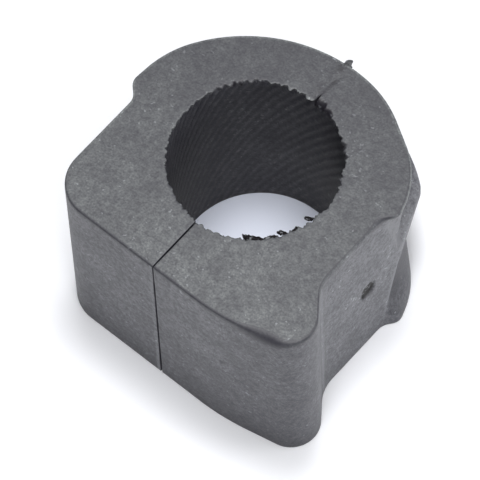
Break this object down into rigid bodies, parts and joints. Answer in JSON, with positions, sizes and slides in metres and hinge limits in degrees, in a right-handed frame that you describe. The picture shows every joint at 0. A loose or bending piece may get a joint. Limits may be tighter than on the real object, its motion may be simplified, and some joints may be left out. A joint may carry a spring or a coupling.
{
  "type": "sway bar bushing",
  "caption": "D-shaped split rubber bushing with a helically ribbed bore, flat seat, flared foot and raised locating band, held round a bar by a strap bracket.",
  "frame": {"origin": "under the middle of the block's plan, on the plane of the lower end face", "axes": "+Z along the bore, +Y from the flat seat towards the rounded crown, +X towards the side with the foot"},
  "size_m": [0.054, 0.0544, 0.0395],
  "materials": {
    "moulded_rubber": "matte, moulded"
  },
  "bodies": {
    "root": {"bushing_body": "moulded_rubber"}
  },
  "joints": []
}
